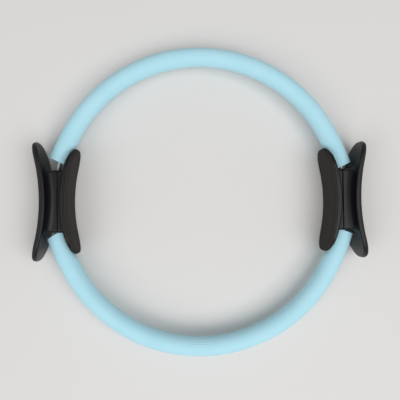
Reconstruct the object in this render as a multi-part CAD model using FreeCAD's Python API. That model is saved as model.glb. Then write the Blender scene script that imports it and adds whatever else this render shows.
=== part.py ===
import FreeCAD, Part
import math
import os
from FreeCAD import Vector

# A pilates ring: two springy glass-fibre bands bent into a hoop, each in a foam sleeve, with their ends
# clamped in two grips. A grip is an outer and an inner moulded shell, back to back at a narrow waist.
# Each shell is a saddle with a foam pad glued to it, and four screws draw the two shells together.
# Millimetres. The origin is the hoop's centre, Z is the hoop's axis, and the grips lie on the X axis.

# Hoop
ring_radius = 168.0
band_width = 14.0
band_thickness = 2.5
band_corner = 0.6
sleeve_diameter = 22.5
sleeve_end_slant = 14.0

# How far each sleeve stops short of the waist's mouth, at the parting plane
upper_left_bare = 9.7
upper_right_bare = 2.5
lower_left_bare = 0.2
lower_right_bare = 0.2

# Saddles of a grip
grip_depth = 52.0
saddle_corner = 22.0
inner_saddle_length = 120.0
inner_saddle_radius = 182.0
outer_saddle_length = 136.0
outer_saddle_radius = 205.0

# Foam pads
pad_thickness = 3.5
pad_inset = 0.5
pad_edge_round = 3.1

# Moulded shells: a plate thins from its middle to its wing tips, and a neck joins it to the waist
inner_plate_thickness = 5.5
inner_tip_thickness = 2.2
inner_neck = 4.0
inner_neck_fillet = 2.0
outer_plate_thickness = 3.6
outer_tip_thickness = 2.4
outer_neck = 4.5
outer_neck_fillet = 8.5
rim_round = 2.1
waist_length = 70.5
waist_depth = 28.0
waist_corner = 3.0
parting_round = 1.0
band_stop = 4.0
tongue_setback = 4.0

# Clamp screws
screw_diameter = 4.0
screw_head_diameter = 8.0
screw_head_height = 2.4
screw_head_round = 0.9
screw_head_cover = 0.4
screw_tip_wall = 2.0
screw_tip_length = 1.5
screw_tip_diameter = 1.6

# Clearances
glue_gap = 0.1
parting_gap = 0.1
slot_gap = 0.15
band_end_gap = 0.3
band_hole_gap = 0.4
bore_gap = 0.2
foam_gap = 0.3
shank_gap = 0.25
head_gap = 0.3
thread_gap = 0.05
pilot_gap = 0.8

# Cutting bodies run on past what they cut, and a fillet takes at most this share of its wall
overrun = 8.0
fillet_share = 0.9
on_surface = 1e-4

origin = Vector(0, 0, 0)
across = Vector(1, 0, 0)
upward = Vector(0, 1, 0)
axial = Vector(0, 0, 1)


class Bow:
    """A circular arc in the hoop's plane, bowed along X and square to it at y = 0."""

    def __init__(self, mid, radius, side):
        self.radius = radius
        self.side = side
        self.centre = mid - side * radius

    @classmethod
    def through(cls, mid, tip, half_length):
        sag = abs(mid - tip)
        return cls(mid, (half_length ** 2 + sag ** 2) / (2 * sag), math.copysign(1, mid - tip))

    def offset(self, distance):
        radius = self.radius + distance
        return Bow(self.centre + self.side * radius, radius, self.side)

    def x_at(self, y):
        return self.centre + self.side * math.sqrt(self.radius ** 2 - y ** 2)

    def point(self, y, z):
        return Vector(self.x_at(y), y, z)

    def edge(self, half_length, z):
        stations = self.point(-half_length, z), self.point(0, z), self.point(half_length, z)
        return Part.Arc(*stations).toShape()

    def holds(self, edge):
        away = [math.hypot(p.x - self.centre, p.y) - self.radius for p in edge.discretize(5)]
        return max(map(abs, away)) < on_surface


def slab(first, second, length, depth):
    """The solid between two bows, centred on the X axis."""
    half = length / 2
    low = -depth / 2
    ends = [Part.makeLine(first.point(y, low), second.point(y, low)) for y in (-half, half)]
    outline = Part.__sortEdges__([first.edge(half, low), second.edge(half, low)] + ends)
    return Part.Face(Part.Wire(outline)).extrude(Vector(0, 0, depth))


def rounded_bar(x_low, x_high, length, depth, corner):
    """A bar along X whose section, length by depth, has round corners."""
    block = Part.makeBox(x_high - x_low, length, depth, Vector(x_low, -length / 2, -depth / 2))
    along = [e for e in block.Edges if abs(e.tangentAt(e.FirstParameter).x) > fillet_share]
    return block.makeFillet(min(corner, fillet_share * min(length, depth) / 2), along)


def rod(radius, x_low, x_high, y):
    """A round rod along X, at a screw's place."""
    return Part.makeCylinder(radius, x_high - x_low, Vector(x_low, y, 0), across)


def turned(shape, axis):
    """A copy turned half round an axis, from right to left or from the upper half to the lower."""
    copy = shape.copy()
    copy.rotate(origin, axis, 180)
    return copy


# The band's faces, and the plane between the shells, where the band's inner face leaves the waist
band_inner = ring_radius - band_thickness / 2
band_outer = ring_radius + band_thickness / 2
parting = math.sqrt(band_inner ** 2 - (waist_length / 2) ** 2)

# The right grip's bowed surfaces, from the hoop's centre outwards: pad face, pad seat and back of the
# inner shell, then back, pad seat and pad face of the outer shell
inner_back_mid = parting - parting_gap - inner_neck
inner_seat_mid = inner_back_mid - inner_plate_thickness
inner_face = Bow(inner_seat_mid - glue_gap - pad_thickness, inner_saddle_radius, 1)
inner_seat = inner_face.offset(pad_thickness + glue_gap)
inner_tip = inner_saddle_length / 2
inner_back = Bow.through(inner_back_mid, inner_seat.x_at(inner_tip) + inner_tip_thickness, inner_tip)

outer_back_mid = band_outer + outer_neck
outer_seat_mid = outer_back_mid + outer_plate_thickness
outer_face = Bow(outer_seat_mid + glue_gap + pad_thickness, outer_saddle_radius, -1)
outer_seat = outer_face.offset(pad_thickness + glue_gap)
outer_tip = outer_saddle_length / 2
outer_back = Bow.through(outer_back_mid, outer_seat.x_at(outer_tip) - outer_tip_thickness, outer_tip)

grip_low = inner_face.x_at(inner_tip) - overrun
grip_high = outer_face.x_at(outer_tip) + overrun

# Two screws hold each band end, spread evenly between the stop rib and the waist's mouth. Their heads
# sink under the inner pad, and their points stop short of the outer pad's seat.
clamped_length = (waist_length - band_stop) / 2
screw_rows = [band_stop / 2 + clamped_length * share for share in (0.25, 0.75)]
screw_places = [-row for row in screw_rows] + screw_rows
head_seats = {y: inner_seat.x_at(y) + screw_head_cover + screw_head_height for y in screw_places}
screw_tip = outer_seat_mid - screw_tip_wall


def either_side(x_low, x_high, y_near, y_far, depth):
    """Two equal blocks, one above and one below the stop rib between the band ends."""
    starts = [Vector(x_low, y_near, -depth / 2), Vector(x_low, -y_far, -depth / 2)]
    return Part.makeCompound([Part.makeBox(x_high - x_low, y_far - y_near, depth, s) for s in starts])


def waist_half(x_low, x_high, parting_x):
    """A shell's half of the waist, rounded all along the parting plane."""
    block = rounded_bar(x_low, x_high, waist_length, waist_depth, waist_corner)
    rim = [e for e in block.Edges if all(abs(p.x - parting_x) < on_surface for p in e.discretize(3))]
    return block.makeFillet(min(parting_round, fillet_share * waist_corner), rim)


def in_waist(edge):
    """True for an edge on or inside the waist's outline, seen along X."""
    points = edge.discretize(5)
    y_reach = max(abs(p.y) for p in points) - waist_length / 2
    z_reach = max(abs(p.z) for p in points) - waist_depth / 2
    return max(y_reach, z_reach) < on_surface


def saddle_shell(seat, back, length, tip_thickness, half_waist, fillet):
    """A bowed plate with soft rims, with its half of the waist blended into its back."""
    blank = slab(seat, back, length + 2 * overrun, grip_depth + 2 * overrun)
    plate = blank.common(rounded_bar(grip_low, grip_high, length, grip_depth, saddle_corner))
    rim = min(rim_round, fillet_share * tip_thickness)
    plate = plate.makeFillet(rim, [e for e in plate.Edges if back.holds(e)])
    root = seat.offset(tip_thickness / 2)
    past_root = slab(root, seat.offset(-overrun), waist_length + overrun, waist_depth + overrun)
    shell = plate.fuse(half_waist.cut(past_root))
    ledge = (grip_depth - waist_depth) / 2 - rim
    foot = [e for e in shell.Edges if back.holds(e) and in_waist(e)]
    return shell.makeFillet(min(fillet, fillet_share * ledge), foot)


def inner_shell():
    """The inner saddle: its tongue presses the bands home, and the screws go in from its pad's side."""
    near = parting - parting_gap
    half_waist = waist_half(inner_seat.x_at(waist_length / 2), near, near)
    fillet = min(inner_neck_fillet, fillet_share * (inner_neck - parting_round))
    shell = saddle_shell(
        inner_seat, inner_back, inner_saddle_length, inner_tip_thickness, half_waist, fillet
    )
    depth = band_width - 2 * slot_gap
    reach = waist_length / 2 - tongue_setback
    tongue = Part.makeCylinder(band_inner - slot_gap, depth, Vector(0, 0, -depth / 2))
    room = either_side(inner_back_mid, ring_radius, band_stop / 2 + band_end_gap, reach, depth)
    shell = shell.fuse(tongue.common(room))
    for y in screw_places:
        shell = shell.cut(rod(screw_diameter / 2 + shank_gap, grip_low, ring_radius, y))
        shell = shell.cut(rod(screw_head_diameter / 2 + head_gap, grip_low, head_seats[y], y))
    return shell.removeSplitter()


def outer_shell():
    """The outer saddle: its deep waist holds the bands in two channels, butted against a stop rib."""
    half_waist = waist_half(parting, outer_seat.x_at(waist_length / 2), parting)
    fillet = min(outer_neck_fillet, fillet_share * (outer_back_mid - parting - parting_round))
    shell = saddle_shell(
        outer_seat, outer_back, outer_saddle_length, outer_tip_thickness, half_waist, fillet
    )
    depth = band_width + 2 * slot_gap
    reach = waist_length / 2 + overrun
    hoop = Part.makeCylinder(band_outer + slot_gap, depth, Vector(0, 0, -depth / 2))
    shell = shell.cut(hoop.common(either_side(parting - overrun, grip_high, band_stop / 2, reach, depth)))
    for y in screw_places:
        shell = shell.cut(rod(screw_diameter / 2 + thread_gap, parting - overrun, screw_tip + pilot_gap, y))
    return shell.removeSplitter()


def foam_pad(face, length):
    """A pad of even thickness, cut a little smaller than its saddle, with a soft front edge."""
    sheet = slab(face, face.offset(pad_thickness), length, grip_depth)
    outline = rounded_bar(
        grip_low,
        grip_high,
        length - 2 * pad_inset,
        grip_depth - 2 * pad_inset,
        saddle_corner - pad_inset,
    )
    pad = sheet.common(outline)
    edge_round = min(pad_edge_round, fillet_share * pad_thickness)
    return pad.makeFillet(edge_round, [e for e in pad.Edges if face.holds(e)])


def clamp_screw(y):
    """A pan-head screw along X, its head towards the hoop's centre."""
    seat = head_seats[y]
    top = seat - screw_head_height
    neck = screw_tip - screw_tip_length
    head = rod(screw_head_diameter / 2, top, seat, y)
    crown = [e for e in head.Edges if abs(e.CenterOfMass.x - top) < on_surface]
    head = head.makeFillet(min(screw_head_round, fillet_share * screw_head_height), crown)
    point = Part.makeCone(
        screw_diameter / 2, screw_tip_diameter / 2, screw_tip_length, Vector(neck, y, 0), across
    )
    return head.fuse(rod(screw_diameter / 2, seat, neck, y)).fuse(point).removeSplitter()


def upper_band():
    """A flat springy strip bent to the upper half of the hoop, with two screw holes at each end."""
    start = math.degrees(math.asin((band_stop / 2 + band_end_gap) / ring_radius))
    section = Part.makePlane(
        band_width, band_thickness, Vector(band_inner, 0, band_width / 2), -upward, axial * -1
    )
    section.rotate(origin, axial, start)
    band = section.revolve(origin, axial, 180 - 2 * start)
    long_edges = [e for e in band.Edges if e.Length > 2 * ring_radius]
    band = band.makeFillet(min(band_corner, fillet_share * band_thickness / 2), long_edges)
    for y in screw_rows:
        band = band.cut(rod(screw_diameter / 2 + band_hole_gap, -grip_high, grip_high, y))
    return band


def sleeve_end(bare):
    """What is cut away at the upper right end: the foam leans out from where it meets the waist."""
    mouth = waist_length / 2 + foam_gap
    lean = math.degrees(math.atan2(mouth, parting)) + sleeve_end_slant
    size = ring_radius
    block = Part.makeBox(size, size, size, Vector(-size / 2, -size, -size / 2))
    block.rotate(origin, axial, lean)
    block.translate(Vector(parting, mouth + bare, 0))
    return block


def neck_room():
    """The space that the waist takes, with the foam's clearance round its ends and its inner fillet."""
    foot = inner_back.x_at(waist_length / 2) + inner_neck_fillet + foam_gap
    waist = rounded_bar(foot, outer_back_mid, waist_length + 2 * foam_gap, waist_depth, waist_corner)
    reach = waist_length + 2 * (inner_neck_fillet + foam_gap)
    return waist.fuse(rounded_bar(grip_low, foot, reach, grip_depth, waist_corner))


def wing_room(near, far, length):
    """The space that a right-hand wing and its pad take, with the foam's clearance round it."""
    outline = rounded_bar(grip_low, grip_high, length + 2 * foam_gap, grip_depth, saddle_corner + foam_gap)
    return slab(near, far, length + 2 * overrun, grip_depth).common(outline)


def upper_sleeve(left_bare, right_bare):
    """A foam tube over the upper band, dented where the saddles' wings press on it."""
    bore = 2 * (math.hypot(band_width / 2, band_thickness / 2) + bore_gap)
    tube = Part.makeTorus(ring_radius, sleeve_diameter / 2, origin, axial, 0, 360, 180)
    tube = tube.cut(Part.makeTorus(ring_radius, bore / 2, origin, axial, 0, 360, 180))
    tube = tube.cut(sleeve_end(right_bare))
    tube = tube.cut(turned(sleeve_end(left_bare), upward))
    for room in (
        neck_room(),
        wing_room(inner_face.offset(-overrun), inner_back.offset(foam_gap), inner_saddle_length),
        wing_room(outer_back.offset(foam_gap), outer_face.offset(-overrun), outer_saddle_length),
    ):
        tube = tube.cut(room).cut(turned(room, upward))
    return tube


nodes = {
    "upper_band": upper_band(),
    "lower_band": turned(upper_band(), across),
    "upper_sleeve": upper_sleeve(upper_left_bare, upper_right_bare),
    "lower_sleeve": turned(upper_sleeve(lower_left_bare, lower_right_bare), across),
}
grip = {
    "outer_shell": outer_shell(),
    "inner_shell": inner_shell(),
    "outer_pad": foam_pad(outer_face, outer_saddle_length),
    "inner_pad": foam_pad(inner_face, inner_saddle_length),
    "clamp_screws": Part.makeCompound([clamp_screw(y) for y in screw_places]),
}
for piece, shape in grip.items():
    nodes["right_" + piece] = shape
    nodes["left_" + piece] = turned(shape, axial)

os.makedirs("parts", exist_ok=True)
for name, shape in nodes.items():
    print(f"{name}: {len(shape.Solids)} solids, {shape.Volume / 1000:.1f} cm3, valid {shape.isValid()}")
    shape.exportStep(f"parts/{name}.step")
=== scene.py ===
# %% [markdown]
# A pilates ring, made cell by cell. The real ring is a hoop of two springy glass-fibre bands in soft foam
# sleeves, with two padded grips that hands or thighs press together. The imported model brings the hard
# pieces at their real size. This lesson adds the soft pieces and the bands, and gives every surface its
# finish. Lengths are metres, the hoop lies in the XY plane, and the grips are on the X axis.

# %% Load the ring
import math
import bpy
from mathutils import Euler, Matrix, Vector


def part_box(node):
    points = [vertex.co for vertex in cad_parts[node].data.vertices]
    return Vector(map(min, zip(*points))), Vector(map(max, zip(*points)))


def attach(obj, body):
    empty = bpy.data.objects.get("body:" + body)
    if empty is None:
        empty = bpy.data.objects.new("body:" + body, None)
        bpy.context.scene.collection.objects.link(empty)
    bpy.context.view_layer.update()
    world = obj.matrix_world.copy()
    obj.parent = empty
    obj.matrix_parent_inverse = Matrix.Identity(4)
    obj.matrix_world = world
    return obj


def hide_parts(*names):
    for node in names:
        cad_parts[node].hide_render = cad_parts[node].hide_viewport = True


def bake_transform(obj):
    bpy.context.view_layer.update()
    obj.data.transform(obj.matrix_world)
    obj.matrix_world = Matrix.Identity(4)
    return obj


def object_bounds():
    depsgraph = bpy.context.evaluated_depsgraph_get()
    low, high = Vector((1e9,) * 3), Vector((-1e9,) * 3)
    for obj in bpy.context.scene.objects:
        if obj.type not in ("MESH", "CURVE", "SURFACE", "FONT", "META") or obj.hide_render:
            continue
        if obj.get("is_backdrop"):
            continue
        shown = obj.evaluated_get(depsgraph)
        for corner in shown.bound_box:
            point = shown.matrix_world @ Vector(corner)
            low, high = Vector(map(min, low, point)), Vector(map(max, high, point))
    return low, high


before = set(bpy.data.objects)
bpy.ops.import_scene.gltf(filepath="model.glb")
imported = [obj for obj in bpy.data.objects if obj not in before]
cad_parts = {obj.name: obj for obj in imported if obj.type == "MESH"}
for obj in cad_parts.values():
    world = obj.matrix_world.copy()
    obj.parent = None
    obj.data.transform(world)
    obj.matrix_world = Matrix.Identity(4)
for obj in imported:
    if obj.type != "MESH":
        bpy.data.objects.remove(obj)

cad_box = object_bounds()
print("pieces in the frame:", ", ".join(sorted(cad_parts)))

# %% [markdown]
# Modelling by hand goes like this: add a primitive, pick some of its points, edges or faces, and let an
# operator act on what is picked. An operator acts on everything that is selected, so each piece starts
# with a clear selection. These helpers do the picking, so that the cells below read like steps at a desk.

# %% Helpers for picking and closing
merge_distance = 1e-6


def place_new(name):
    """Name the primitive that was just added, and move its place into its mesh."""
    piece = bpy.context.object
    piece.name = name
    piece.data.name = name
    bpy.ops.object.transform_apply(location=True, rotation=True, scale=True)
    return piece


def pick(piece, kind, test):
    """Select in edit mode the points or the edges that pass a test."""
    bpy.ops.object.mode_set(mode="EDIT")
    bpy.ops.mesh.select_mode(type=kind)
    bpy.ops.mesh.select_all(action="DESELECT")
    bpy.ops.object.mode_set(mode="OBJECT")
    elements = {"VERT": piece.data.vertices, "EDGE": piece.data.edges}
    for element in elements[kind]:
        element.select = test(element)
    bpy.ops.object.mode_set(mode="EDIT")


def close_up():
    """Merge doubled points, turn every face outwards and leave edit mode."""
    bpy.ops.mesh.select_all(action="SELECT")
    bpy.ops.mesh.remove_doubles(threshold=merge_distance)
    bpy.ops.mesh.normals_make_consistent(inside=False)
    bpy.ops.object.mode_set(mode="OBJECT")


bpy.ops.object.select_all(action="DESELECT")
print("nothing is selected now:", not bpy.context.selected_objects)

# %% [markdown]
# The frame already knows the hoop's size, so it is read from there. A sleeve's top is one sleeve radius
# above the hoop's middle, and its far edge is that much outside the hoop's circle.

# %% Read the hoop's sizes
sleeve_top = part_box("upper_sleeve")[1]
sleeve_radius = sleeve_top.z
hoop_radius = sleeve_top.y - sleeve_radius
band_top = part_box("upper_band")[1]
band_width = 2 * band_top.z
band_thickness = 2 * (band_top.y - hoop_radius)
print(f"hoop radius {hoop_radius:.4f}, sleeve radius {sleeve_radius:.4f}, band {band_thickness:.4f} thick")

# %% [markdown]
# The foam sleeve is an extruded tube, cut off a long length and pushed over the band. The die leaves fine
# ribs along it. A torus primitive would give a smooth ring with no ends, so the section is drawn instead: a
# circle that waves in and out, four points to a rib, and a plain circle for the bore, which clears the
# band's corners. Both are spun round the hoop's axis, as the die would push the foam out. The real ribs are
# 2 mm apart, which is under two pixels of the picture, so they are drawn 2.5 mm apart to make them show.

# %% Spin a ribbed sleeve
rib_count = 28
rib_wave = (1, 0.5, 0, 0.5)  # how far in each point of a rib lies, as a share of the rib's depth
rib_depth = 0.00038
bore_gap = 0.0002
bore_radius = math.hypot(band_width / 2, band_thickness / 2) + bore_gap
bore_points = 48
sleeve_steps = 300
spin_axis = (0, 0, -1)  # the spin operator turns clockwise about its axis


def ribbed_tube(name, first_angle, last_angle):
    """The skin and the bore of a ribbed foam tube, from one angle of the hoop to another."""
    bpy.ops.object.select_all(action="DESELECT")
    start = Vector((math.cos(first_angle), math.sin(first_angle), 0)) * hoop_radius
    upright = (math.pi / 2, 0, first_angle)
    bpy.ops.mesh.primitive_circle_add(
        vertices=rib_count * len(rib_wave), radius=sleeve_radius, location=start, rotation=upright
    )
    tube = place_new(name)
    for place, drawn_in in enumerate(rib_wave):
        pick(tube, "VERT", lambda point: point.index % len(rib_wave) == place)
        shrink = 1 - drawn_in * rib_depth / sleeve_radius
        bpy.ops.transform.resize(value=(shrink, shrink, shrink), center_override=start)
    bpy.ops.mesh.primitive_circle_add(
        vertices=bore_points, radius=bore_radius, location=start, rotation=upright
    )
    bpy.ops.mesh.select_all(action="SELECT")
    bpy.ops.mesh.spin(
        steps=sleeve_steps, angle=last_angle - first_angle, center=(0, 0, 0), axis=spin_axis
    )
    return tube


rib_pitch = math.tau * sleeve_radius / rib_count
print(f"ribs {rib_pitch * 1000:.2f} mm apart, bore radius {bore_radius * 1000:.2f} mm")

# %% [markdown]
# Close to the grips the tube leaves the hoop's circle: the saddles' wings push it outwards, so it runs
# straighter into the grip, most of all at the upper left, where it has slipped back along the band. The
# tube's outer side moves by the full amount and its inner side stays, so the bore only gets wider and keeps
# clear of the band.

# %% Let the tube stand out near the grips
stand_out_start = 0.075
stand_out_softness = 0.006
stand_out_slopes = {"upper_sleeve": (0.14, 0.08), "lower_sleeve": (0.09, 0.07)}


def stand_out(tube, left_slope, right_slope):
    """Move the tube's outer side out of the hoop's circle, more and more towards the grips."""
    bpy.ops.object.mode_set(mode="OBJECT")
    for point in tube.data.vertices:
        x, y = point.co.xy
        nearer = (stand_out_start - y) / stand_out_softness
        slope = right_slope if x > 0 else left_slope
        outer_share = 0.5 + 0.5 * (math.hypot(x, y) - hoop_radius) / sleeve_radius
        shift = slope * stand_out_softness * math.log1p(math.exp(nearer)) * outer_share
        point.co.x += math.copysign(shift, x)
    bpy.ops.object.mode_set(mode="EDIT")


for name, (left_slope, right_slope) in stand_out_slopes.items():
    print(f"{name} runs out by {left_slope:.0%} on the left and {right_slope:.0%} on the right")

# %% [markdown]
# Foam is cut with a knife, and never quite square. Each end leans out from where it meets the grip's waist,
# and the upper left one stops short, so that the band shows there. A bisect is the knife: two slanted cuts,
# then one that is flush with the waists. The waist is shorter than the wings on either side of it, so its
# length can't be read off a shell's box and is given here.

# %% Cut the sleeve ends
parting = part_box("right_outer_shell")[0].x
waist_length = 0.0705
foam_gap = 0.0003
mouth = waist_length / 2 + foam_gap
bare_lengths = {"upper_sleeve": (0.0097, 0.0025), "lower_sleeve": (0.0002, 0.0002)}
end_slants = {"upper_sleeve": (14, 13), "lower_sleeve": (17, 6)}


def slice_off(place, kept):
    """Cut the tube by a plane, and keep the side that its normal points to."""
    bpy.ops.mesh.select_all(action="SELECT")
    bpy.ops.mesh.bisect(plane_co=place, plane_no=kept, clear_inner=True)


def cut_ends(name):
    """Cut the left and the right end on their slants, and then both flush with the waists."""
    for side, bare, slant in zip((-1, 1), bare_lengths[name], end_slants[name]):
        lean = math.atan2(mouth, parting) + math.radians(slant)
        slice_off((side * parting, mouth + bare, 0), (-side * math.sin(lean), math.cos(lean), 0))
    slice_off((0, mouth, 0), (0, 1, 0))


print(f"no foam comes nearer than {mouth * 1000:.2f} mm to the X axis")

# %% [markdown]
# After the cuts each end is open between its two rims. A bridge would need as many points on one rim as on
# the other, so a fill closes the ends. Then a Bevel modifier softens the edges of the cuts, because foam
# never keeps a sharp edge. It works by angle, so it leaves the ribs alone.

# %% Close the ends and soften the cuts
cut_edge_round = 0.0006
cut_edge_steps = 2
sharp_edge = math.radians(50)  # the cuts are sharper than this, and the ribs are not


def close_end(tube, side):
    """Fill between the rim of the skin and the rim of the bore, at the left (-1) or the right (1) end."""
    bpy.ops.mesh.select_mode(type="EDGE")
    bpy.ops.mesh.select_non_manifold(extend=False)
    bpy.ops.object.mode_set(mode="OBJECT")
    points = tube.data.vertices
    rims = {edge.index for edge in tube.data.edges if edge.select}
    pick(tube, "EDGE", lambda edge: edge.index in rims and side * points[edge.vertices[0]].co.x > 0)
    bpy.ops.mesh.fill()


def finish_with(piece, kind, **settings):
    """Put a modifier on the active piece, set it and apply it."""
    bpy.ops.object.modifier_add(type=kind)
    modifier = piece.modifiers[-1]
    for name, value in settings.items():
        setattr(modifier, name, value)
    bpy.ops.object.modifier_apply(modifier=modifier.name)


def cut_sleeve(name):
    """A sleeve for the upper half of the hoop, cut to length and closed at its ends."""
    first_angle = math.asin(mouth / (hoop_radius + 2 * sleeve_radius))
    tube = ribbed_tube("foam_" + name, first_angle, math.pi - first_angle)
    stand_out(tube, *stand_out_slopes[name])
    cut_ends(name)
    for side in (-1, 1):
        close_end(tube, side)
    close_up()
    finish_with(
        tube,
        "BEVEL",
        width=cut_edge_round,
        segments=cut_edge_steps,
        limit_method="ANGLE",
        angle_limit=sharp_edge,
    )
    return tube


print(f"the cut edges get a round of {cut_edge_round * 1000:.1f} mm")

# %% [markdown]
# The wings of the saddles leave a slot for the foam. On the inside its limit is the back of the inner wing,
# a circular arc, and past the wing's tip the foam may swell back along a round. On the outside it is the
# back of the outer wing. At the waist both limits close in along the fillets at the wings' feet.

# %% Find the room between the wings
inner_low, inner_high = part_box("right_inner_shell")
outer_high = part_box("right_outer_shell")[1]
inner_tip_thickness = 0.0022
inner_waist_depth = 0.0041
outer_tip_thickness = 0.0024
outer_waist_depth = 0.0045
inner_tip = (inner_low.x + inner_tip_thickness, inner_high.y)
inner_middle = parting - inner_waist_depth
outer_tip = (outer_high.x - outer_tip_thickness, outer_high.y)
outer_middle = hoop_radius + band_thickness / 2 + outer_waist_depth
wing_swell = 0.005
inner_fillet = 0.0020
outer_fillet = 0.0085


def bowed(y, middle, tip):
    """Where a wing's back is at a height y: a circular arc through its middle and its tip."""
    sag = tip[0] - middle
    bow = (tip[1] ** 2 + sag ** 2) / (2 * sag)
    return middle + bow - math.copysign(math.sqrt(bow ** 2 - min(y, tip[1]) ** 2), bow)


def rounded(distance, radius):
    """How far a round corner of that radius has come in, at a distance from where it starts."""
    reach = min(max(distance, 0), radius)
    return radius - math.sqrt(radius ** 2 - reach ** 2)


def nearest_in(y):
    """The nearest that foam may come to the hoop's middle, at a height y."""
    swollen = rounded(y - inner_tip[1], wing_swell)
    flared = rounded(mouth + inner_fillet - y, inner_fillet)
    return bowed(y, inner_middle, inner_tip) + foam_gap - swollen + flared


def farthest_out(y):
    """The farthest that foam may stand from the hoop's middle, at a height y."""
    flared = rounded(mouth + outer_fillet - y, outer_fillet)
    return bowed(y, outer_middle, outer_tip) - foam_gap - flared


for place, y in {"waists": mouth, "inner wings' tips": inner_tip[1]}.items():
    print(f"at the {place} the slot is {(farthest_out(y) - nearest_in(y)) * 1000:.1f} mm wide")

# %% [markdown]
# The inner wings press into the foam. A boolean would leave a hard-edged bite, but foam yields softly, so
# each point that lies too far in or out is moved into the slot, with a smooth run at the edge of the dent.
# The bore keeps its shape, because the band holds it.

# %% Press the wings into the foam
press_softness = 0.0006


def soft_excess(excess):
    """The excess where it is large, and a smooth run down to nothing."""
    return press_softness * math.log1p(math.exp(excess / press_softness))


def press_in(sleeve):
    """Move the foam out of the wings' way, on the right and on the left."""
    moved = 0
    for point in sleeve.data.vertices:
        x, y, z = point.co
        if y > outer_tip[1]:
            continue
        depth = math.hypot(math.hypot(x, y) - hoop_radius, z) - bore_radius
        yielding = min(max(depth / (sleeve_radius - bore_radius), 0), 1)
        outwards = soft_excess(nearest_in(y) - abs(x)) - soft_excess(abs(x) - farthest_out(y))
        point.co.x += math.copysign(outwards * yielding, x)
        moved += 1
    print(f"{sleeve.name}: {moved} points lie beside the wings")


print(f"where a wing only touches, the foam gives way by {soft_excess(0) * 1000:.2f} mm")

# %% [markdown]
# Now both sleeves can be made. The lower one is made like an upper one, from its own lengths and slants, and
# is then turned half round the X axis. Shading by angle is set wide enough to round off the ribs.

# %% Make both sleeves
rib_smoothing = math.radians(38)


def report(piece):
    """Say how large a piece came out, in millimetres."""
    low = [min(v.co[i] for v in piece.data.vertices) * 1000 for i in range(3)]
    high = [max(v.co[i] for v in piece.data.vertices) * 1000 for i in range(3)]
    spans = ", ".join(f"{axis} {a:.1f} to {b:.1f}" for axis, a, b in zip("XYZ", low, high))
    print(f"{piece.name}: {len(piece.data.polygons)} faces, {spans}")


sleeves = []
for sleeve_name in bare_lengths:
    sleeve = cut_sleeve(sleeve_name)
    press_in(sleeve)
    if sleeve_name.startswith("lower"):
        bpy.ops.object.mode_set(mode="EDIT")
        bpy.ops.mesh.select_all(action="SELECT")
        bpy.ops.transform.rotate(value=math.pi, orient_axis="X", center_override=(0, 0, 0))
        bpy.ops.object.mode_set(mode="OBJECT")
    bpy.ops.object.shade_smooth_by_angle(angle=rib_smoothing)
    sleeves.append(sleeve)
    report(sleeve)

# %% [markdown]
# The band is the ring's spring: a flat strip of glass fibre in resin, bent to half a hoop. It is drawn as a
# small plate with rounded corners and spun round the hoop's axis. A bent cube would need many cuts first,
# and the spin keeps the strip's thickness true all the way round. The two bands butt against a stop rib in
# each grip, with a small gap.

# %% Spin a band
band_corner = 0.0006
band_corner_steps = 3
band_steps = 128
band_stop = 0.004
band_end_gap = 0.0003
band_end_reach = band_stop / 2 + band_end_gap


def spun_band(name):
    """The strip for the upper half of the hoop."""
    start_angle = math.asin(band_end_reach / hoop_radius)
    bpy.ops.object.select_all(action="DESELECT")
    bpy.ops.mesh.primitive_plane_add(size=1)
    bpy.ops.transform.resize(value=(band_thickness, band_width, 1))
    plate = bpy.context.object
    plate.location = Vector((math.cos(start_angle), math.sin(start_angle), 0)) * hoop_radius
    plate.rotation_euler = (math.pi / 2, 0, start_angle)
    band = place_new(name)
    bpy.ops.object.mode_set(mode="EDIT")
    bpy.ops.mesh.select_all(action="SELECT")
    bpy.ops.mesh.bevel(offset=band_corner, segments=band_corner_steps, affect="VERTICES")
    bpy.ops.mesh.select_all(action="SELECT")
    bpy.ops.mesh.spin(
        steps=band_steps, angle=math.pi - 2 * start_angle, center=(0, 0, 0), axis=spin_axis
    )
    close_up()
    return band


upper_band = spun_band("glass_fibre_upper_band")
report(upper_band)

# %% [markdown]
# Each band end has two holes for the clamp screws. They are drilled with a boolean, as a drill would do:
# four rods are joined into one cutter, taken away from the band, and thrown away.

# %% Drill the band ends
screw_shares = (0.25, 0.75)  # where the screws are along the clamped length of a band end
clamped_length = (waist_length - band_stop) / 2
screw_rows = [band_stop / 2 + clamped_length * share for share in screw_shares]
band_hole_radius = 0.0024
band_hole_points = 24
rod_length = 0.020


def drill(band):
    """Drill the two screw holes at each end of the band."""
    bpy.ops.object.select_all(action="DESELECT")
    rods = []
    for side in (-1, 1):
        for row in screw_rows:
            across = side * math.sqrt(hoop_radius ** 2 - row ** 2)
            bpy.ops.mesh.primitive_cylinder_add(
                vertices=band_hole_points,
                radius=band_hole_radius,
                depth=rod_length,
                location=(across, row, 0),
                rotation=(0, math.pi / 2, 0),
            )
            rods.append(bpy.context.object)
    for rod in rods:
        rod.select_set(True)
    bpy.ops.object.join()
    cutter = bpy.context.object
    bpy.ops.object.select_all(action="DESELECT")
    band.select_set(True)
    bpy.context.view_layer.objects.active = band
    finish_with(band, "BOOLEAN", operation="DIFFERENCE", solver="EXACT", object=cutter)
    bpy.data.objects.remove(cutter)


drill(upper_band)
report(upper_band)

# %% [markdown]
# The lower band is the same strip, so it is a copy with its own mesh, turned half round the X axis. Shading
# by angle keeps the edges of the holes and of the ends crisp, and rounds off the corners of the strip.

# %% Copy the band
band_smoothing = math.radians(35)


def turned_copy(piece, name, axis):
    """A copy with its own mesh, turned half round an axis through the hoop's middle."""
    bpy.ops.object.select_all(action="DESELECT")
    piece.select_set(True)
    bpy.context.view_layer.objects.active = piece
    bpy.ops.object.duplicate()
    bpy.ops.transform.rotate(value=math.pi, orient_axis=axis, center_override=(0, 0, 0))
    return place_new(name)


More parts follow.
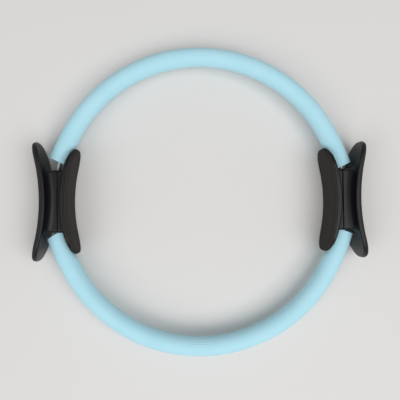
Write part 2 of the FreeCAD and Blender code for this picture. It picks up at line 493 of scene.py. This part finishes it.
bpy.ops.object.shade_smooth_by_angle(angle=band_smoothing)
bands = [upper_band, turned_copy(upper_band, "glass_fibre_lower_band", "X")]
report(bands[1])

# %% [markdown]
# The grip pads are black foam, stamped with round corners, pressed with a full rolled edge and glued to the
# saddles. The flat blank comes first: a plane whose corners are bevelled round, raised by a low side wall,
# and then drawn in by small insets that climb along a quarter circle.

# %% Stamp a pad and roll its edge
pad_thickness = 0.0035
pad_corner = 0.0215
pad_corner_steps = 14
pad_edge_round = 0.0031
pad_side_wall = pad_thickness - pad_edge_round
roll_steps = 6


def stamped_pad(name, length, depth):
    """A flat pad blank: its length along X, its depth along Y and its front side up."""
    bpy.ops.object.select_all(action="DESELECT")
    bpy.ops.mesh.primitive_plane_add(size=1)
    bpy.ops.transform.resize(value=(length, depth, 1))
    pad = place_new(name)
    bpy.ops.object.mode_set(mode="EDIT")
    bpy.ops.mesh.select_all(action="SELECT")
    bpy.ops.mesh.bevel(offset=pad_corner, segments=pad_corner_steps, affect="VERTICES")
    bpy.ops.mesh.select_all(action="SELECT")
    bpy.ops.mesh.extrude_region_move(TRANSFORM_OT_translate={"value": (0, 0, pad_side_wall)})
    turns = [math.pi / 2 * step / roll_steps for step in range(roll_steps + 1)]
    for last, turn in zip(turns, turns[1:]):
        drawn_in = pad_edge_round * (math.cos(last) - math.cos(turn))
        climb = pad_edge_round * (math.sin(turn) - math.sin(last))
        bpy.ops.mesh.inset(thickness=drawn_in, depth=climb)
    return pad


print(f"a pad has a side wall of {pad_side_wall * 1000:.1f} mm and {roll_steps} steps round its edge")

# %% [markdown]
# A blank has one large face in front and one behind, which can't bend. Cutting the whole blank across and
# along with bisects gives it rows of points, and then each point is laid on the saddle's curve. The front
# is crowned by a fraction of a millimetre, as pressed foam is.

# %% Lay a pad on its saddle
pad_columns = 60
pad_rows = 16
pad_crown = 0.0004
pad_smoothing = math.radians(40)
front_bow = {"inner": 0.182, "outer": 0.205}  # the radius that each pad's front is bowed to


def cut_across(length, axis, count):
    """Cut the blank in even steps along one axis."""
    for step in range(1, count):
        bpy.ops.mesh.select_all(action="SELECT")
        bpy.ops.mesh.bisect(plane_co=axis * length * (step / count - 0.5), plane_no=axis)


def saddle_pad(saddle):
    """The right-hand pad of a saddle: the inner pad faces the hoop's middle and the outer one faces away."""
    low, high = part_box(f"right_{saddle}_pad")
    pad = stamped_pad(f"foam_right_{saddle}_pad", 2 * high.y, 2 * high.z)
    cut_across(2 * high.y, Vector((1, 0, 0)), pad_columns)
    cut_across(2 * high.z, Vector((0, 1, 0)), pad_rows)
    close_up()
    outward = 1 if saddle == "outer" else -1
    glue_line = low.x if saddle == "outer" else high.x
    bow = front_bow[saddle] + pad_thickness
    for point in pad.data.vertices:
        y, z, height = point.co
        height += pad_crown * height / pad_thickness * (1 - (y / high.y) ** 2) * (1 - (z / high.z) ** 2)
        point.co = (glue_line + outward * (bow - math.sqrt((bow - height) ** 2 - y ** 2)), y, z)
    bpy.ops.object.mode_set(mode="EDIT")
    close_up()
    bpy.ops.object.shade_smooth_by_angle(angle=pad_smoothing)
    return pad


print(f"a pad is cut into {pad_columns} columns and {pad_rows} rows before it is bent")

# %% [markdown]
# Each right-hand pad is modelled once. The left-hand grip is the right-hand one turned half round the
# upright axis, so its pads are copies turned the same way.

# %% Make the four pads
pads = {}
for saddle in ("inner", "outer"):
    pad = saddle_pad(saddle)
    pads[f"right_{saddle}_pad"] = pad
    pads[f"left_{saddle}_pad"] = turned_copy(pad, f"foam_left_{saddle}_pad", "Z")
for pad in pads.values():
    report(pad)

# %% [markdown]
# Every finish starts from what the real material is. Colours are written as they would be on a screen, and
# one function turns them into the linear values that shaders need. One more function adds a node: it sets
# what is given as a value, and links what is given as another node's output.


# %% Helpers for the finishes
def linear(hex_colour):
    """A screen colour such as 8FC1D4 as linear red, green, blue and full alpha."""
    parts = [int(hex_colour[i:i + 2], 16) / 255 for i in (0, 2, 4)]
    return [p / 12.92 if p <= 0.04045 else ((p + 0.055) / 1.055) ** 2.4 for p in parts] + [1]


def per_metre(size_mm):
    """How many repeats a pattern of that size has in a metre, which is what a texture's scale means here."""
    return 1000 / size_mm


def add_node(tree, kind, sockets, **settings):
    """Add one node, set its properties, and set or link its sockets."""
    node = tree.nodes.new(kind)
    for name, value in settings.items():
        setattr(node, name, value)
    for name, value in sockets.items():
        if isinstance(value, bpy.types.NodeSocket):
            tree.links.new(value, node.inputs[name])
        else:
            node.inputs[name].default_value = value
    return node


def new_finish(name):
    """An empty node material: its tree, and the place on the object that a pattern reads."""
    material = bpy.data.materials.new(name)
    material.use_nodes = True
    material.node_tree.nodes.clear()
    place = add_node(material.node_tree, "ShaderNodeTexCoord", {}).outputs["Object"]
    return material, material.node_tree, place


print("a mid grey, 808080, is", round(linear("808080")[0], 3), "in linear light")

# %% [markdown]
# The sleeve is closed-cell nitrile rubber foam, extruded in light blue. Its skin is matt and faintly
# powdery, with tiny cells and a soft unevenness of colour. A flat blue would look like plastic, so a fine
# cell pattern lifts the surface by hundredths of a millimetre and two blues drift into each other.

# %% Light blue foam
blue_drift_mm = 30
blue_cell_mm = 0.7  # the real cells are too fine to show, so they are drawn coarser


def light_blue_foam():
    """The sleeves' matt, faintly powdery skin."""
    material, tree, place = new_finish("light_blue_rubber_foam")
    drift = add_node(
        tree,
        "ShaderNodeTexNoise",
        {"Vector": place, "Scale": per_metre(blue_drift_mm), "Detail": 3.0},
    )
    blue = add_node(
        tree,
        "ShaderNodeMix",
        {"Factor": drift.outputs["Fac"], "A": linear("B0E4F3"), "B": linear("BEEBF8")},
        data_type="RGBA",
    )
    cells = add_node(
        tree, "ShaderNodeTexVoronoi", {"Vector": place, "Scale": per_metre(blue_cell_mm)}
    )
    lift = add_node(
        tree,
        "ShaderNodeBump",
        {"Height": cells.outputs["Distance"], "Strength": 0.35, "Distance": 0.00006},
    )
    shader = add_node(
        tree,
        "ShaderNodeBsdfPrincipled",
        {
            "Base Color": blue.outputs["Result"],
            "Roughness": 0.72,
            "IOR": 1.48,
            "Sheen Weight": 0.25,
            "Sheen Roughness": 0.5,
            "Normal": lift.outputs["Normal"],
        },
    )
    add_node(tree, "ShaderNodeOutputMaterial", {"Surface": shader.outputs["BSDF"]})
    return material


sleeve_foam = light_blue_foam()
print("finish made:", sleeve_foam.name)

# %% [markdown]
# The pads are the same kind of foam in a denser black sheet. Their cut face is dull and a touch brown, and
# the open cells at the surface catch the light as a fine grain.

# %% Black pad foam
sheet_grain_mm = 3
sheet_cell_mm = 0.9  # the real cells are too fine to show, so they are drawn coarser


def black_foam():
    """The pads' dull cut face."""
    material, tree, place = new_finish("black_rubber_foam_sheet")
    cells = add_node(
        tree, "ShaderNodeTexVoronoi", {"Vector": place, "Scale": per_metre(sheet_cell_mm)}
    )
    grain = add_node(
        tree,
        "ShaderNodeTexNoise",
        {"Vector": place, "Scale": per_metre(sheet_grain_mm), "Detail": 4.0},
    )
    black = add_node(
        tree,
        "ShaderNodeMix",
        {"Factor": grain.outputs["Fac"], "A": linear("292624"), "B": linear("36322F")},
        data_type="RGBA",
    )
    lift = add_node(
        tree,
        "ShaderNodeBump",
        {"Height": cells.outputs["Distance"], "Strength": 0.5, "Distance": 0.0001},
    )
    shader = add_node(
        tree,
        "ShaderNodeBsdfPrincipled",
        {
            "Base Color": black.outputs["Result"],
            "Roughness": 0.9,
            "IOR": 1.48,
            "Specular IOR Level": 0.3,
            "Normal": lift.outputs["Normal"],
        },
    )
    add_node(tree, "ShaderNodeOutputMaterial", {"Surface": shader.outputs["BSDF"]})
    return material


pad_foam = black_foam()
print("finish made:", pad_foam.name)

# %% [markdown]
# The shells are injection-moulded polypropylene, black all through. The mould is lightly grained, so the
# plastic is satin: it gives long soft highlights along its rims and hollows. Handling polishes it unevenly,
# which shows as a slow change in roughness.

# %% Satin black plastic
handling_mm = 18
mould_grain_mm = 0.5  # a real mould's grain is too fine to show, so it is drawn coarser


def satin_plastic():
    """The shells' satin moulded face."""
    material, tree, place = new_finish("black_moulded_polypropylene")
    grain = add_node(
        tree,
        "ShaderNodeTexNoise",
        {"Vector": place, "Scale": per_metre(mould_grain_mm), "Detail": 2.0},
    )
    handling = add_node(
        tree,
        "ShaderNodeTexNoise",
        {"Vector": place, "Scale": per_metre(handling_mm), "Detail": 3.0},
    )
    polish = add_node(
        tree,
        "ShaderNodeMapRange",
        {"Value": handling.outputs["Fac"], "From Min": 0.3, "From Max": 0.7, "To Min": 0.34, "To Max": 0.42},
    )
    lift = add_node(
        tree,
        "ShaderNodeBump",
        {"Height": grain.outputs["Fac"], "Strength": 0.15, "Distance": 0.00005},
    )
    shader = add_node(
        tree,
        "ShaderNodeBsdfPrincipled",
        {
            "Base Color": linear("17171A"),
            "Roughness": polish.outputs["Result"],
            "IOR": 1.49,
            "Specular IOR Level": 0.3,
            "Normal": lift.outputs["Normal"],
        },
    )
    add_node(tree, "ShaderNodeOutputMaterial", {"Surface": shader.outputs["BSDF"]})
    return material


moulded_plastic = satin_plastic()
print("finish made:", moulded_plastic.name)

# %% [markdown]
# The band is pultruded glass fibre in resin: pale grey with a green cast, and streaked by its fibres. The
# streaks run round the hoop, so the pattern is read in the hoop's own directions: the angle round it, the
# distance from its middle and the height.

# %% Glass fibre in resin
fibre_bundle_mm = 0.6
streak_stretch = (0.05, 1.0, 1.0)  # a streak is about twenty times as long as it is wide


def glass_fibre():
    """The bands' pale, streaked laminate."""
    material, tree, place = new_finish("glass_fibre_laminate")
    angle = add_node(tree, "ShaderNodeTexGradient", {"Vector": place}, gradient_type="RADIAL")
    radius = add_node(tree, "ShaderNodeVectorMath", {0: place}, operation="LENGTH")
    height = add_node(tree, "ShaderNodeSeparateXYZ", {"Vector": place})
    along = add_node(
        tree,
        "ShaderNodeCombineXYZ",
        {"X": angle.outputs["Fac"], "Y": radius.outputs["Value"], "Z": height.outputs["Z"]},
    )
    stretch = add_node(
        tree, "ShaderNodeMapping", {"Vector": along.outputs["Vector"], "Scale": streak_stretch}
    )
    fibres = add_node(
        tree,
        "ShaderNodeTexNoise",
        {"Vector": stretch.outputs["Vector"], "Scale": per_metre(fibre_bundle_mm), "Detail": 3.0},
    )
    tint = add_node(
        tree,
        "ShaderNodeMix",
        {"Factor": fibres.outputs["Fac"], "A": linear("9DA89C"), "B": linear("CDD3C9")},
        data_type="RGBA",
    )
    lift = add_node(
        tree,
        "ShaderNodeBump",
        {"Height": fibres.outputs["Fac"], "Strength": 0.2, "Distance": 0.00004},
    )
    shader = add_node(
        tree,
        "ShaderNodeBsdfPrincipled",
        {
            "Base Color": tint.outputs["Result"],
            "Roughness": 0.38,
            "IOR": 1.54,
            "Normal": lift.outputs["Normal"],
        },
    )
    add_node(tree, "ShaderNodeOutputMaterial", {"Surface": shader.outputs["BSDF"]})
    return material


band_laminate = glass_fibre()
print("finish made:", band_laminate.name)

# %% [markdown]
# The clamp screws are zinc-plated steel, bright but not mirror-like: the plating's fine crystals break the
# reflection up.

# %% Zinc-plated steel
zinc_crystal_mm = 0.4  # the real crystals are too fine to show, so they are drawn coarser


def zinc_plate():
    """The screws' bright, slightly broken plating."""
    material, tree, place = new_finish("zinc_plated_steel")
    crystals = add_node(
        tree, "ShaderNodeTexVoronoi", {"Vector": place, "Scale": per_metre(zinc_crystal_mm)}
    )
    dullness = add_node(
        tree,
        "ShaderNodeMapRange",
        {"Value": crystals.outputs["Distance"], "To Min": 0.25, "To Max": 0.45},
    )
    shader = add_node(
        tree,
        "ShaderNodeBsdfPrincipled",
        {"Base Color": linear("C6C8CA"), "Metallic": 1.0, "Roughness": dullness.outputs["Result"]},
    )
    add_node(tree, "ShaderNodeOutputMaterial", {"Surface": shader.outputs["BSDF"]})
    return material


screw_zinc = zinc_plate()
print("finish made:", screw_zinc.name)

# %% [markdown]
# Now each piece gets its finish. The sleeves and bands bend when the ring is squeezed. Here each one has its
# place baked into its mesh and stands in for its imported piece, which is hidden.

# %% Dress the pieces that bend
left_body = "left_grip_with_hoop"
right_body = "right_grip"


def bend_with_hoop(piece, node):
    """Bake a piece's place into its mesh, and hide the CAD node that it stands for."""
    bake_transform(piece)
    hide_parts(node)
    print(piece.name, "bends with the hoop and stands for", node)


for sleeve, node_name in zip(sleeves, bare_lengths):
    sleeve.data.materials.append(sleeve_foam)
    bend_with_hoop(sleeve, node_name)

for band, node_name in zip(bands, ("upper_band", "lower_band")):
    band.data.materials.append(band_laminate)
    bend_with_hoop(band, node_name)

# %% [markdown]
# A pad is glued to its grip, so it rides with that grip and doesn't bend.

# %% Dress the pads
for node_name, pad in pads.items():
    pad.data.materials.append(pad_foam)
    pad_body = left_body if node_name.startswith("left") else right_body
    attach(pad, pad_body)
    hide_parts(node_name)
    print(pad.name, "rides with", pad_body)

# %% [markdown]
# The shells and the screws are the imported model's own pieces. They already have their shapes and their
# bodies, and only need their finishes.

# %% Dress the hard pieces
for node_name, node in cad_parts.items():
    if node_name.endswith("shell"):
        finish = moulded_plastic
    elif node_name.endswith("screws"):
        finish = screw_zinc
    else:
        continue
    for slot in node.material_slots:
        slot.material = finish
    print(node_name, "is now", finish.name)

# %% [markdown]
# The ring lies on a plain pale table, a board with a matt coat of paint. The paint shows only the slightest
# mottle, so that the eye stays on the ring.

# %% Pale grey paint
table_mottle_mm = 400


def pale_grey_paint():
    """The table's matt coat."""
    material, tree, place = new_finish("pale_grey_table")
    mottle = add_node(
        tree,
        "ShaderNodeTexNoise",
        {"Vector": place, "Scale": per_metre(table_mottle_mm), "Detail": 1.0},
    )
    grey = add_node(
        tree,
        "ShaderNodeMix",
        {"Factor": mottle.outputs["Fac"], "A": linear("E4E2E0"), "B": linear("E6E4E2")},
        data_type="RGBA",
    )
    shader = add_node(
        tree, "ShaderNodeBsdfPrincipled", {"Base Color": grey.outputs["Result"], "Roughness": 0.9}
    )
    add_node(tree, "ShaderNodeOutputMaterial", {"Surface": shader.outputs["BSDF"]})
    return material


table_paint = pale_grey_paint()
print("finish made:", table_paint.name)

# %% [markdown]
# The table's top is a large flat grid at the height of the ring's lowest point. Its edges are far away, so
# that from above nothing but the table is seen behind the ring.

# %% Pale table
floor_size = 6.0
floor_height = cad_box[0][2]
bpy.ops.object.select_all(action="DESELECT")
bpy.ops.mesh.primitive_grid_add(x_subdivisions=2, y_subdivisions=2, size=floor_size)
bpy.context.object.location.z = floor_height
floor = place_new("pale_table")
floor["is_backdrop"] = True
floor.data.materials.append(table_paint)
print(f"the table is {floor_size:.0f} m wide and lies {-floor_height * 1000:.0f} mm below the hoop's middle")

# %% [markdown]
# The light is a soft studio light: a large soft box high on the right, a smaller and lower one on the left,
# both in front of the ring, and even light from all round. The boxes stand far off, so that the table is lit
# evenly.

# %% Soft light
world_level = 0.30
world = bpy.data.worlds.new("even_studio_light")
world.use_nodes = True
world.node_tree.nodes["Background"].inputs["Color"].default_value = linear("FFFFFF")
world.node_tree.nodes["Background"].inputs["Strength"].default_value = world_level
bpy.context.scene.world = world


def soft_box(name, azimuth, elevation, distance, size, watts):
    """A square soft box that faces the ring from a compass direction in the XY plane, in degrees."""
    turn = math.radians(azimuth)
    rise = math.radians(elevation)
    direction = Vector((math.cos(rise) * math.cos(turn), math.cos(rise) * math.sin(turn), math.sin(rise)))
    lamp = bpy.data.lights.new(name, "AREA")
    lamp.size = size
    lamp.energy = watts
    holder = bpy.data.objects.new(name, lamp)
    bpy.context.scene.collection.objects.link(holder)
    holder.location = direction * distance
    holder.rotation_euler = direction.to_track_quat("Z", "Y").to_euler()
    print(f"{name}: {watts} W, {holder.location.z:.2f} m above the hoop's middle")


soft_box("soft_key", azimuth=-40, elevation=66, distance=3.6, size=3.0, watts=76)
soft_box("soft_front", azimuth=-140, elevation=50, distance=3.8, size=2.8, watts=40)

# %% [markdown]
# The camera looks down from about sixty centimetres and leans a few degrees, so the near rims of the grips
# stand out a little and the far side of the hoop is a touch smaller. Its lens is worked out from the size
# that a millimetre of the hoop has in the picture.

# %% Camera
picture_pixels = 400
metres_per_pixel = 0.0011613
camera_place = Vector((-0.0302, -0.0206, 0.615))
camera_turn = Euler((math.radians(2.00), math.radians(-2.645), math.radians(-0.55)))
eye = bpy.data.cameras.new("camera")
eye.sensor_width = 36
eye.lens = camera_place.z * eye.sensor_width / (metres_per_pixel * picture_pixels)
camera = bpy.data.objects.new("camera", eye)
camera.location = camera_place
camera.rotation_euler = camera_turn
bpy.context.scene.collection.objects.link(camera)
bpy.context.scene.camera = camera
bpy.context.scene.view_settings.view_transform = "Standard"
print(f"lens {eye.lens:.1f} mm")

# %% Write the sizes and finish
visual_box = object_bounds()
spans = [(high - low) * 1000 for low, high in zip(*visual_box)]
print("the dressed ring spans", " by ".join(f"{span:.1f}" for span in spans), "mm")
